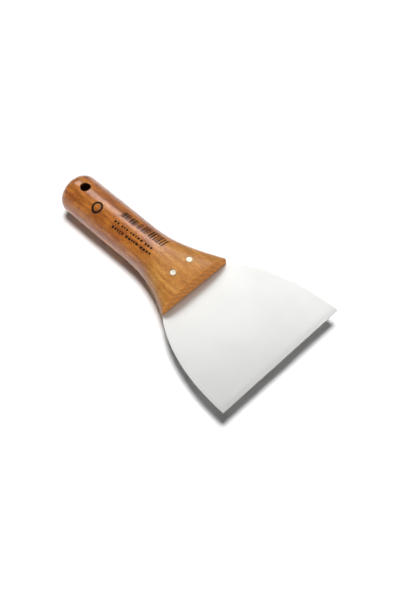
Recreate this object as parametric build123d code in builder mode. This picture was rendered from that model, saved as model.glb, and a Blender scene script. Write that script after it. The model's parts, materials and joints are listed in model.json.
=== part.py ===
"""Wide filling knife: a one-piece beech handle with a steel blade riveted into it.

Lengths are in millimetres.  The origin is the centre of the bounding box, X runs
from the rounded end of the handle towards the blade's edge, Y is across the blade
and Z is through its thickness.
"""
from build123d import *
import math
import os

# ---- overall -----------------------------------------------------------------
overall_length = 226.6
edge_width = 120.0
blade_exposed = 87.6
edge_x = overall_length / 2
front_x = edge_x - blade_exposed
butt_x = -overall_length / 2

# ---- blade -------------------------------------------------------------------
blade_thickness = 1.0
blade_mid_half_width = 54.6
blade_root_half_width = 33.8
edge_flare_angle = 1.4
root_flare_angle = 38.0
ground_length = 4.0
ground_edge_thickness = 0.8
tang_depth = 25.0
tang_front_half_width = 32.0
tang_mid_depth = 11.5
tang_mid_half_width = 26.4
tang_rear_half_width = 20.6

# ---- handle: distance behind the front face, half width, half thickness, squareness
handle_sections = [
    (0.0, 33.9, 13.4, 3.0),
    (7.0, 30.2, 14.3, 2.9),
    (14.5, 26.5, 15.1, 2.8),
    (24.5, 22.5, 15.8, 2.55),
    (36.0, 19.1, 16.1, 2.3),
    (49.0, 17.1, 16.1, 2.15),
    (66.0, 16.6, 16.2, 2.1),
    (88.0, 16.8, 16.5, 2.05),
    (106.0, 16.8, 16.7, 2.0),
    (115.5, 16.75, 16.7, 2.0),
]
section_points = 24
end_radius = 16.7
crown_radius = 34.0
end_rounding = 9.0
end_depth = 14.0
front_arris = 0.6
kerf_depth = tang_depth + 1.0

# ---- hanging hole ------------------------------------------------------------
hanging_hole_radius = 4.0
hanging_hole_from_end = 18.2
hanging_hole_x = butt_x + hanging_hole_from_end
hole_rim_rounding = 0.6

# ---- rivets: a headed tube from above, a headed pin pressed in from below ------
rivet_x = front_x - 14.3
rivet_half_spacing = 8.5
head_radius = 2.5
head_seat = 13.0
well_gap = 0.2
tube_radius = 2.0
tube_end_gap = 1.0
bore_end = head_seat - 0.5
pin_radius = 1.3
pin_end = bore_end - 1.5
blade_hole_gap = 0.15
cutter_length = 40.0


def section_edge(half_width, half_height, squareness):
    """One rounded cross-section as a closed curve, evenly spaced all round."""
    points = []
    for i in range(section_points):
        angle = 2 * math.pi * i / section_points
        c = math.cos(angle)
        s = math.sin(angle)
        reach = (abs(c) ** squareness + abs(s) ** squareness) ** (-1 / squareness)
        points.append(Vector(reach * c * half_width, reach * s * half_height))
    spacing = [i / section_points for i in range(section_points + 1)]
    return Edge.make_spline(points, parameters=spacing, periodic=True)


# ---- handle blank: the flared grip before the kerf and the holes --------------
with BuildPart() as turned_end:
    with Locations((butt_x, 0, 0)):
        Cylinder(end_radius, end_depth, rotation=(0, 90, 0), align=(Align.CENTER, Align.CENTER, Align.MIN))
    with Locations((butt_x + crown_radius, 0, 0)):
        Sphere(crown_radius, mode=Mode.INTERSECT)
    crown_edge = turned_end.faces().sort_by(Axis.X)[0].edges()
    fillet(crown_edge, end_rounding)

with BuildPart() as blank:
    for depth, half_width, half_height, squareness in handle_sections:
        station = Plane(origin=(front_x - depth, 0, 0), x_dir=(0, 1, 0), z_dir=(-1, 0, 0))
        with BuildSketch(station):
            with BuildLine():
                add(section_edge(half_width, half_height, squareness))
            make_face()
    end_station = Plane(origin=(butt_x + end_depth, 0, 0), x_dir=(0, 1, 0), z_dir=(-1, 0, 0))
    with BuildSketch(end_station):
        Circle(end_radius)
    loft()
    front_edge = blank.faces().sort_by(Axis.X)[-1].edges()
    fillet(front_edge, front_arris)
    add(turned_end.part)

# ---- handle --------------------------------------------------------------------
with BuildPart() as handle:
    add(blank.part)
    # hanging hole, straight through, with its rims eased
    before_hole = handle.edges()
    with Locations((hanging_hole_x, 0, 0)):
        Cylinder(hanging_hole_radius, cutter_length, mode=Mode.SUBTRACT)
    hole_rims = [
        edge for edge in handle.edges() - before_hole
        if abs(edge.center(CenterOf.BOUNDING_BOX).X - hanging_hole_x) < hole_rim_rounding
        and abs(edge.center().Z) > hanging_hole_radius
    ]
    fillet(hole_rims, hole_rim_rounding)
    # saw kerf that holds the blade
    with Locations((front_x - kerf_depth, 0, 0)):
        Box(
            kerf_depth + front_arris, edge_width, blade_thickness,
            align=(Align.MIN, Align.CENTER, Align.CENTER), mode=Mode.SUBTRACT,
        )
    # rivet holes, with a well for each head
    for side in (-1, 1):
        with Locations((rivet_x, side * rivet_half_spacing, 0)):
            Cylinder(tube_radius, cutter_length, mode=Mode.SUBTRACT)
        with Locations((rivet_x, side * rivet_half_spacing, head_seat)):
            Cylinder(
                head_radius + well_gap, cutter_length,
                align=(Align.CENTER, Align.CENTER, Align.MIN), mode=Mode.SUBTRACT,
            )
        with Locations((rivet_x, side * rivet_half_spacing, -head_seat)):
            Cylinder(
                head_radius + well_gap, cutter_length,
                align=(Align.CENTER, Align.CENTER, Align.MAX), mode=Mode.SUBTRACT,
            )
handle.part.label = "handle"

# ---- blade ---------------------------------------------------------------------
half_edge = edge_width / 2
blade_mid_x = edge_x - blade_exposed / 2
edge_tangent = (-math.cos(math.radians(edge_flare_angle)), -math.sin(math.radians(edge_flare_angle)))
root_tangent = (-math.cos(math.radians(root_flare_angle)), -math.sin(math.radians(root_flare_angle)))

with BuildPart() as blade:
    with BuildSketch(Plane.XY.offset(-blade_thickness / 2)):
        with BuildLine():
            Line((edge_x, 0), (edge_x, half_edge))
            Spline(
                (edge_x, half_edge),
                (blade_mid_x, blade_mid_half_width),
                (front_x, blade_root_half_width),
                tangents=(edge_tangent, root_tangent),
            )
            Polyline(
                (front_x, blade_root_half_width),
                (front_x, tang_front_half_width),
                (front_x - tang_mid_depth, tang_mid_half_width),
                (front_x - tang_depth, tang_rear_half_width),
                (front_x - tang_depth, 0),
            )
            mirror(about=Plane.XZ)
        make_face()
    extrude(amount=blade_thickness)
    # both faces ground down to a thin working edge
    with BuildSketch(Plane.XZ.offset(-edge_width)):
        with BuildLine():
            Polyline(
                (edge_x - ground_length, blade_thickness / 2),
                (edge_x, ground_edge_thickness / 2),
                (edge_x + ground_length, ground_edge_thickness / 2),
                (edge_x + ground_length, blade_thickness),
                (edge_x - ground_length, blade_thickness),
                close=True,
            )
        make_face()
        mirror(about=Plane.XZ)
    extrude(amount=2 * edge_width, mode=Mode.SUBTRACT)
    for side in (-1, 1):
        with Locations((rivet_x, side * rivet_half_spacing, 0)):
            Cylinder(tube_radius + blade_hole_gap, cutter_length, mode=Mode.SUBTRACT)
blade.part.label = "blade"


# ---- rivets --------------------------------------------------------------------
def rivet_tube(side, label):
    """Headed tube let in from the top face, its head dressed flush with the wood."""
    tube_end = tube_end_gap - head_seat
    with BuildPart() as tube:
        with Locations((rivet_x, side * rivet_half_spacing, head_seat)):
            Cylinder(head_radius, cutter_length, align=(Align.CENTER, Align.CENTER, Align.MIN))
        with Locations((rivet_x, side * rivet_half_spacing, tube_end)):
            Cylinder(tube_radius, head_seat - tube_end, align=(Align.CENTER, Align.CENTER, Align.MIN))
        add(blank.part, mode=Mode.INTERSECT)
        with Locations((rivet_x, side * rivet_half_spacing, bore_end)):
            Cylinder(
                pin_radius, cutter_length,
                align=(Align.CENTER, Align.CENTER, Align.MAX), mode=Mode.SUBTRACT,
            )
    tube.part.label = label
    return tube.part


def rivet_pin(side, label):
    """Headed pin let in from the bottom face and pressed up inside the tube."""
    with BuildPart() as pin:
        with Locations((rivet_x, side * rivet_half_spacing, -head_seat)):
            Cylinder(head_radius, cutter_length, align=(Align.CENTER, Align.CENTER, Align.MAX))
        with Locations((rivet_x, side * rivet_half_spacing, -head_seat)):
            Cylinder(pin_radius, pin_end + head_seat, align=(Align.CENTER, Align.CENTER, Align.MIN))
        add(blank.part, mode=Mode.INTERSECT)
    pin.part.label = label
    return pin.part


os.makedirs("parts", exist_ok=True)
export_step(handle.part, "parts/handle.step")
export_step(blade.part, "parts/blade.step")
for side, name in ((1, "left"), (-1, "right")):
    export_step(rivet_tube(side, "rivet_tube_" + name), "parts/rivet_tube_" + name + ".step")
    export_step(rivet_pin(side, "rivet_pin_" + name), "parts/rivet_pin_" + name + ".step")
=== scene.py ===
"""Looks of the wide filling knife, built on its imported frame. Metres, +X to the blade's edge."""

import json
import math
import random

import bmesh
import bpy
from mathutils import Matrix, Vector
from mathutils.bvhtree import BVHTree


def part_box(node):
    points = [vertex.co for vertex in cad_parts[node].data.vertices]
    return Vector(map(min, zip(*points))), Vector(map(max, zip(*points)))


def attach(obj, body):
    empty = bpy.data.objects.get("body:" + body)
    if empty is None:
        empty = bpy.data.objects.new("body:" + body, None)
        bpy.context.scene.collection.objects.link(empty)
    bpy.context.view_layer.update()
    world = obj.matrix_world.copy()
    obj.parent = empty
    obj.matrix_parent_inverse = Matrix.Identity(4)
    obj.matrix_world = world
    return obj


MM = 0.001
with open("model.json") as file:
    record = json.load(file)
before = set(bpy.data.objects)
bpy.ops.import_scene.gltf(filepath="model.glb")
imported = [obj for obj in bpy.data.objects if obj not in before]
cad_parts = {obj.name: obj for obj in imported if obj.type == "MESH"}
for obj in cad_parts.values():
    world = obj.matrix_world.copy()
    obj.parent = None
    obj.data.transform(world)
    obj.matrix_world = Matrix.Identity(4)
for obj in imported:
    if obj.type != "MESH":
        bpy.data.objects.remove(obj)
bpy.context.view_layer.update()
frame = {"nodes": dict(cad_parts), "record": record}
nodes = frame["nodes"]
floor_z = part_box("handle")[0].z


# ---- small helpers for node trees ------------------------------------------------
class Tree:
    """A material's node tree, with one short call for each kind of node used here."""

    def __init__(self, name):
        self.material = bpy.data.materials.new(name)
        self.material.use_nodes = True
        self.tree = self.material.node_tree
        self.shader = self.tree.nodes["Principled BSDF"]
        coords = self.tree.nodes.new("ShaderNodeTexCoord")
        self.place = coords.outputs["Object"]

    def node(self, kind, **settings):
        made = self.tree.nodes.new(kind)
        for key, value in settings.items():
            setattr(made, key, value)
        return made

    def feed(self, socket, value):
        if isinstance(value, bpy.types.NodeSocket):
            self.tree.links.new(value, socket)
        else:
            socket.default_value = value

    def stretched(self, scale, source=None):
        made = self.node("ShaderNodeVectorMath", operation="MULTIPLY")
        self.feed(made.inputs[0], source or self.place)
        made.inputs[1].default_value = scale
        return made.outputs[0]

    def shifted(self, offset, source=None):
        made = self.node("ShaderNodeVectorMath", operation="ADD")
        self.feed(made.inputs[0], source or self.place)
        self.feed(made.inputs[1], offset)
        return made.outputs[0]

    def noise(self, scale, detail=3.0, rough=0.55, source=None, colour=False):
        made = self.node("ShaderNodeTexNoise")
        self.feed(made.inputs["Vector"], self.stretched(scale, source))
        made.inputs["Scale"].default_value = 1.0
        made.inputs["Detail"].default_value = detail
        made.inputs["Roughness"].default_value = rough
        return made.outputs["Color" if colour else "Fac"]

    def math(self, operation, a, b=0.0):
        made = self.node("ShaderNodeMath", operation=operation)
        self.feed(made.inputs[0], a)
        self.feed(made.inputs[1], b)
        return made.outputs[0]

    def ranged(self, value, low, high, to_low=0.0, to_high=1.0):
        made = self.node("ShaderNodeMapRange", interpolation_type="SMOOTHSTEP")
        self.feed(made.inputs["Value"], value)
        for key, number in zip(("From Min", "From Max", "To Min", "To Max"), (low, high, to_low, to_high)):
            made.inputs[key].default_value = number
        return made.outputs["Result"]

    def mixed(self, factor, a, b):
        made = self.node("ShaderNodeMix", data_type="RGBA")
        self.feed(made.inputs["Factor"], factor)
        self.feed(made.inputs["A"], a)
        self.feed(made.inputs["B"], b)
        return made.outputs["Result"]

    def bump(self, height, strength, distance):
        made = self.node("ShaderNodeBump")
        self.feed(made.inputs["Height"], height)
        made.inputs["Strength"].default_value = strength
        made.inputs["Distance"].default_value = distance
        self.feed(self.shader.inputs["Normal"], made.outputs["Normal"])

    def set(self, **sockets):
        for key, value in sockets.items():
            self.feed(self.shader.inputs[key.replace("_", " ")], value)


def rgb(red, green, blue):
    return (red, green, blue, 1.0)


# ---- materials --------------------------------------------------------------------
def beech():
    """Stained beech under clear lacquer: growth rings, fibres, short flecks, pores and end grain, with
    painted light on the cut ends and painted shade in the bored hole.
    """
    t = Tree("lacquered_beech")
    warp = t.node("ShaderNodeVectorMath", operation="MULTIPLY_ADD")
    t.feed(warp.inputs[0], t.noise((9.0, 55.0, 55.0), 2.0, colour=True))
    warp.inputs[1].default_value = (0.0, 0.008, 0.008)
    warp.inputs[2].default_value = (0.0, -0.004, -0.004)
    wavy = t.shifted(warp.outputs[0])
    # rings about a pith line well below and to one side of the handle
    to_pith = (0.0, 52 * MM, 46 * MM)
    ring_spacing = 4 * MM
    pith = t.stretched((0.0, 1.0, 1.0), t.shifted(to_pith, wavy))
    length = t.node("ShaderNodeVectorMath", operation="LENGTH")
    t.feed(length.inputs[0], pith)
    uneven = t.math("MULTIPLY", t.noise((14.0, 170.0, 170.0), 2.0), 9.0)
    turns = t.math("MULTIPLY", length.outputs["Value"], 2 * math.pi / ring_spacing)
    ring = t.math("SINE", t.math("ADD", turns, uneven))
    rings = t.ranged(ring, -0.9, 1.0)
    fibre = t.noise((38.0, 1500.0, 1500.0), 4.0, 0.65, wavy)
    streak = t.noise((11.0, 260.0, 260.0), 3.0, 0.6, wavy)
    fleck = t.ranged(t.noise((420.0, 1700.0, 1700.0), 2.0, 0.5, wavy), 0.56, 0.68)
    spot = t.ranged(t.noise((190.0, 620.0, 620.0), 3.0, 0.65, wavy), 0.54, 0.70)
    patch = t.noise((55.0, 130.0, 130.0), 4.0, 0.65)
    axes = t.node("ShaderNodeSeparateXYZ")
    t.feed(axes.inputs[0], t.place)
    # the sanded flat round the rivets is paler than the grip
    paler = t.ranged(axes.outputs["X"], -0.024, 0.004)
    dark = t.mixed(paler, rgb(0.140, 0.030, 0.003), rgb(0.240, 0.076, 0.012))
    middle = t.mixed(paler, rgb(0.310, 0.082, 0.006), rgb(0.440, 0.178, 0.034))
    light = t.mixed(paler, rgb(0.520, 0.175, 0.018), rgb(0.560, 0.262, 0.060))
    colour = t.mixed(t.ranged(patch, 0.38, 0.62), middle, light)
    colour = t.mixed(t.math("MULTIPLY", rings, 0.30), colour, dark)
    colour = t.mixed(t.math("MULTIPLY", t.ranged(streak, 0.48, 0.72), 0.55), colour, dark)
    colour = t.mixed(t.math("MULTIPLY", t.ranged(fibre, 0.45, 0.75), 0.32), colour, light)
    colour = t.mixed(t.math("MULTIPLY", spot, 0.62), colour, dark)
    colour = t.mixed(t.math("MULTIPLY", fleck, 0.72), colour, dark)
    # painted light: the cut ends, faces along ±X, are painted a brighter orange to show them lit; the rings
    # on them are darkened as end grain
    facing = t.node("ShaderNodeSeparateXYZ")
    geometry = t.node("ShaderNodeNewGeometry")
    t.feed(facing.inputs[0], geometry.outputs["Normal"])
    end = t.ranged(t.math("ABSOLUTE", facing.outputs["X"]), 0.55, 0.95)
    colour = t.mixed(t.math("MULTIPLY", end, 0.55), colour, rgb(0.660, 0.235, 0.045))
    colour = t.mixed(t.math("MULTIPLY", t.math("MULTIPLY", end, rings), 0.30), colour, dark)
    # painted shade: the bored hole's wall and rim are painted near-black for the shade inside the hole
    bore = next(mount for mount in frame["record"]["mounts"] if mount["name"] == "hanging_hole")
    hole = t.node("ShaderNodeVectorMath", operation="LENGTH")
    t.feed(hole.inputs[0], t.stretched((1.0, 1.0, 0.0), t.shifted([-value for value in bore["pos_m"]])))
    radius = bore["dims"]["r_mm"] * MM
    hole_painted_shade = t.ranged(hole.outputs["Value"], radius + 0.5 * MM, radius + 0.15 * MM)
    colour = t.mixed(t.math("MULTIPLY", hole_painted_shade, 0.85), colour, rgb(0.045, 0.016, 0.006))
    rough = t.ranged(fibre, 0.2, 0.8, 0.38, 0.54)
    t.bump(t.math("ADD", t.math("MULTIPLY", fibre, 0.6), t.math("MULTIPLY", fleck, -0.5)), 0.35, 0.00006)
    lacquer = t.ranged(axes.outputs["X"], -0.020, 0.000, 1.0, 0.25)
    t.set(Base_Color=colour, Roughness=rough, Specular_IOR_Level=0.25,
          Coat_Weight=lacquer, Coat_Roughness=0.17, Coat_IOR=1.47)
    return t.material


def steel():
    """Spring steel, ground along its width and polished: fine lines, faint cloudiness, a few scratches."""
    t = Tree("polished_steel")
    lines = t.noise((5200.0, 22.0, 800.0), 3.0, 0.6)
    cloud = t.noise((22.0, 30.0, 30.0), 3.0, 0.5)
    scratch = t.ranged(t.noise((900.0, 60.0, 60.0), 2.0, 0.5), 0.70, 0.76)
    colour = t.mixed(t.ranged(cloud, 0.3, 0.7), rgb(0.470, 0.470, 0.460), rgb(0.495, 0.495, 0.485))
    colour = t.mixed(t.math("MULTIPLY", lines, 0.10), colour, rgb(0.44, 0.44, 0.43))
    rough = t.math("ADD", t.ranged(lines, 0.3, 0.7, 0.36, 0.42), t.math("MULTIPLY", scratch, 0.08))
    t.bump(lines, 0.10, 0.00002)
    t.set(Base_Color=colour, Roughness=rough, Metallic=0.7)
    return t.material


def rivet(name, centre):
    """Bright aluminium head with the faint rings left by dressing it flush, and a dark ring of painted
    shade round its edge for the shadowed gap in the wood.
    """
    t = Tree(name)
    away = t.stretched((1.0, 1.0, 0.0), t.shifted((-centre.x, -centre.y, 0.0)))
    length = t.node("ShaderNodeVectorMath", operation="LENGTH")
    t.feed(length.inputs[0], away)
    turning_pitch = 0.55 * MM
    shade_ring_inner, shade_ring_outer = 2.1 * MM, 2.5 * MM
    turning = t.math("SINE", t.math("MULTIPLY", length.outputs["Value"], 2 * math.pi / turning_pitch))
    grime = t.noise((500.0, 500.0, 500.0), 3.0)
    rim_painted_shade = t.ranged(length.outputs["Value"], shade_ring_inner, shade_ring_outer)
    colour = t.mixed(t.ranged(grime, 0.35, 0.75), rgb(0.84, 0.78, 0.64), rgb(0.66, 0.60, 0.47))
    # painted shade: the head's outer edge is darkened for the shadowed gap between head and wood
    colour = t.mixed(t.math("MULTIPLY", rim_painted_shade, 0.8), colour, rgb(0.16, 0.11, 0.06))
    t.bump(t.math("ADD", turning, grime), 0.25, 0.00003)
    t.set(Base_Color=colour, Roughness=t.ranged(grime, 0.2, 0.8, 0.44, 0.56), Metallic=1.0)
    return t.material


def ink():
    """Dark stamped ink, thinner where the wood's fibres show through."""
    t = Tree("stamped_ink")
    worn = t.ranged(t.noise((400.0, 2600.0, 2600.0), 3.0), 0.50, 0.78)
    colour = t.mixed(t.math("MULTIPLY", worn, 0.35), rgb(0.010, 0.006, 0.004), rgb(0.10, 0.04, 0.014))
    t.bump(worn, 0.2, 0.00002)
    t.set(Base_Color=colour, Roughness=t.ranged(worn, 0.0, 1.0, 0.50, 0.62),
          Specular_IOR_Level=0.1, Coat_Weight=0.05, Coat_Roughness=0.2)
    return t.material


def paper_white():
    t = Tree("studio_floor")
    grain = t.noise((60.0, 60.0, 60.0), 2.0)
    t.set(Base_Color=t.mixed(grain, rgb(0.90, 0.90, 0.90), rgb(0.92, 0.92, 0.92)), Roughness=0.9)
    return t.material


def dress(node_name, material):
    nodes[node_name].data.materials.clear()
    nodes[node_name].data.materials.append(material)


# ---- marks stamped on the handle ---------------------------------------------------
class Stamp:
    """Thin closed pads of ink that follow the handle's upper surface."""

    LIFT = 0.035 * MM
    SINK = 0.05 * MM

    def __init__(self, name):
        self.name = name
        self.mesh = bmesh.new()
        self.surface = BVHTree.FromObject(nodes["handle"], bpy.context.evaluated_depsgraph_get())

    def touch(self, x, y):
        found = self.surface.ray_cast(Vector((x * MM, y * MM, 0.1)), Vector((0.0, 0.0, -1.0)))
        return found[0], found[1]

    def pad(self, rows):
        """rows is a grid of (x, y) in millimetres. The pad gets a top, a bottom and four sides."""
        tops, bases = [], []
        for row in rows:
            top, base = [], []
            for x, y in row:
                spot, normal = self.touch(x, y)
                top.append(self.mesh.verts.new(spot + normal * self.LIFT))
                base.append(self.mesh.verts.new(spot - normal * self.SINK))
            tops.append(top)
            bases.append(base)
        closed = rows[0] == rows[-1]
        if closed:
            for ring in (tops, bases):
                for vertex in ring[-1]:
                    self.mesh.verts.remove(vertex)
                ring[-1] = ring[0]
        last = len(rows[0]) - 1
        for i in range(len(rows) - 1):
            for j in range(last):
                self.face(tops[i][j], tops[i + 1][j], tops[i + 1][j + 1], tops[i][j + 1])
                self.face(bases[i][j], bases[i][j + 1], bases[i + 1][j + 1], bases[i + 1][j])
            self.face(tops[i][0], bases[i][0], bases[i + 1][0], tops[i + 1][0])
            self.face(tops[i][last], tops[i + 1][last], bases[i + 1][last], bases[i][last])
        if not closed:
            for j in range(last):
                self.face(tops[0][j], tops[0][j + 1], bases[0][j + 1], bases[0][j])
                self.face(tops[-1][j], bases[-1][j], bases[-1][j + 1], tops[-1][j + 1])

    def face(self, *corners):
        self.mesh.faces.new(corners)

    def block(self, x, width, low, high, steps):
        """A bar of that width at x. low and high give its ends as (place at x = 0, drift per unit of x)."""
        rows = []
        for across in (x, x + width):
            near, far = (start + drift * across for start, drift in (low, high))
            rows.append([(across, near + (far - near) * k / steps) for k in range(steps + 1)])
        self.pad(rows)

    def finish(self, material):
        bmesh.ops.recalc_face_normals(self.mesh, faces=self.mesh.faces)
        data = bpy.data.meshes.new(self.name)
        self.mesh.to_mesh(data)
        self.mesh.free()
        piece = bpy.data.objects.new(self.name, data)
        bpy.context.scene.collection.objects.link(piece)
        piece.data.materials.append(material)
        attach(piece, "root")


def stamped_marks(material):
    """A plain ring, a band of irregular bars that encodes nothing, and two rows of plain dashes."""
    dice = random.Random(7)
    start, end = -54.6, -12.2
    bar_widths = (0.5, 0.5, 0.95, 1.4)
    bar_low, bar_high = (1.8, 0.04), (10.8, 0.10)
    dash_widths = (1.3, 1.7, 2.1)
    dash_half_height, dash_drift = 0.8, 0.035
    dash_gap, word_gap = 0.95, 1.8

    ring = Stamp("stamped_ring")
    centre_x, centre_y, outer, inner, parts = -74.0, -6.6, 4.7, 3.0, 48
    rows = []
    for i in range(parts + 1):
        angle = 2 * math.pi * (i % parts) / parts
        c, s = math.cos(angle), math.sin(angle)
        rows.append([(centre_x + r * c, centre_y + r * s) for r in (inner, (inner + outer) / 2, outer)])
    ring.pad(rows)
    ring.finish(material)

    bars = Stamp("stamped_bars")
    x = start
    while x < end:
        width = dice.choice(bar_widths)
        bars.block(x, width, bar_low, bar_high, 10)
        x += width + dice.choice(bar_widths)
    bars.finish(material)

    dashes = Stamp("stamped_dashes")
    for middle, first, last in ((-4.2, start, -15.0), (-8.2, start + 1.0, -12.6)):
        x = first
        while x < last:
            for _ in range(dice.randint(2, 6)):
                width = dice.choice(dash_widths)
                if x < last:
                    low = (middle - dash_half_height, dash_drift)
                    high = (middle + dash_half_height, dash_drift)
                    dashes.block(x, width, low, high, 3)
                x += width + dash_gap
            x += word_gap
    dashes.finish(material)


# ---- studio ---------------------------------------------------------------------------
TARGET = Vector((0.03613, -0.00466, 0.0))
CAMERA_AZIMUTH, CAMERA_ELEVATION, CAMERA_DISTANCE = -45.0, 55.45, 0.746
LENS, SENSOR_WIDTH = 60.6, 36.0


def direction(azimuth, elevation):
    """Unit vector towards a place in the studio: azimuth from +X, elevation above the floor."""
    a, e = math.radians(azimuth), math.radians(elevation)
    return Vector((math.cos(a) * math.cos(e), math.sin(a) * math.cos(e), math.sin(e)))


def softbox(name, azimuth, elevation, distance, width, height, watts):
    """A rectangular lamp that shows only in reflections. Azimuth and elevation are in degrees."""
    data = bpy.data.lights.new(name, "AREA")
    data.shape = "RECTANGLE"
    data.size, data.size_y, data.energy = width, height, watts
    lamp = bpy.data.objects.new(name, data)
    bpy.context.scene.collection.objects.link(lamp)
    towards = direction(azimuth, elevation)
    lamp.location = TARGET + towards * distance
    lamp.rotation_mode = "QUATERNION"
    lamp.rotation_quaternion = towards.to_track_quat("Z", "Y")
    lamp.visible_diffuse = False


def distant(name, azimuth, elevation, width, strength):
    """A far, broad lamp that lights the whole floor and stays out of reflections. Width is in degrees."""
    data = bpy.data.lights.new(name, "SUN")
    data.angle, data.energy = math.radians(width), strength
    lamp = bpy.data.objects.new(name, data)
    bpy.context.scene.collection.objects.link(lamp)
    lamp.rotation_mode = "QUATERNION"
    lamp.rotation_quaternion = direction(azimuth, elevation).to_track_quat("Z", "Y")
    lamp.visible_glossy = False


def backdrop(diffuse, glossy, seen):
    """White all round: dim as a light, brighter in reflections, and pale when seen directly."""
    world = bpy.data.worlds.new("studio")
    bpy.context.scene.world = world
    world.use_nodes = True
    tree = world.node_tree
    background = tree.nodes["Background"]
    background.inputs["Color"].default_value = rgb(1.0, 1.0, 1.0)
    path = tree.nodes.new("ShaderNodeLightPath")
    strength = diffuse
    for ray, level in (("Is Glossy Ray", glossy - diffuse), ("Is Camera Ray", seen - diffuse)):
        share = tree.nodes.new("ShaderNodeMath")
        share.operation = "MULTIPLY_ADD"
        tree.links.new(path.outputs[ray], share.inputs[0])
        share.inputs[1].default_value = level
        if strength is diffuse:
            share.inputs[2].default_value = strength
        else:
            tree.links.new(strength, share.inputs[2])
        strength = share.outputs[0]
    tree.links.new(strength, background.inputs["Strength"])


def studio():
    extent = 60.0
    mesh = bmesh.new()
    signs = ((-1, -1), (1, -1), (1, 1), (-1, 1))
    corners = [mesh.verts.new((x * extent, y * extent, floor_z)) for x, y in signs]
    mesh.faces.new(corners)
    data = bpy.data.meshes.new("studio_floor")
    mesh.to_mesh(data)
    mesh.free()
    floor = bpy.data.objects.new("studio_floor", data)
    bpy.context.scene.collection.objects.link(floor)
    floor.data.materials.append(paper_white())

    distant("overhead", 135, 84, 19, 3.5)
    distant("front", -20, 5, 10, 2.2)
    softbox("behind", 140, 50, 1.5, 1.5, 0.42, 10.2)
    backdrop(diffuse=0.03, glossy=0.30, seen=1.0)

    bpy.context.scene.view_settings.view_transform = "Standard"


def camera():
    data = bpy.data.cameras.new("camera")
    data.lens, data.sensor_width = LENS, SENSOR_WIDTH
    data.clip_start, data.clip_end = 0.01, 50.0
    eye = bpy.data.objects.new("camera", data)
    bpy.context.scene.collection.objects.link(eye)
    back = direction(CAMERA_AZIMUTH, CAMERA_ELEVATION)
    eye.location = TARGET + back * CAMERA_DISTANCE
    eye.rotation_mode = "QUATERNION"
    eye.rotation_quaternion = (-back).to_track_quat("-Z", "Y")
    bpy.context.scene.camera = eye


camera()
studio()
dress("handle", beech())
dress("blade", steel())
for side in ("left", "right"):
    for part in ("rivet_tube_", "rivet_pin_"):
        low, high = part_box(part + side)
        dress(part + side, rivet("aluminium_" + part + side, (low + high) / 2))
stamped_marks(ink())
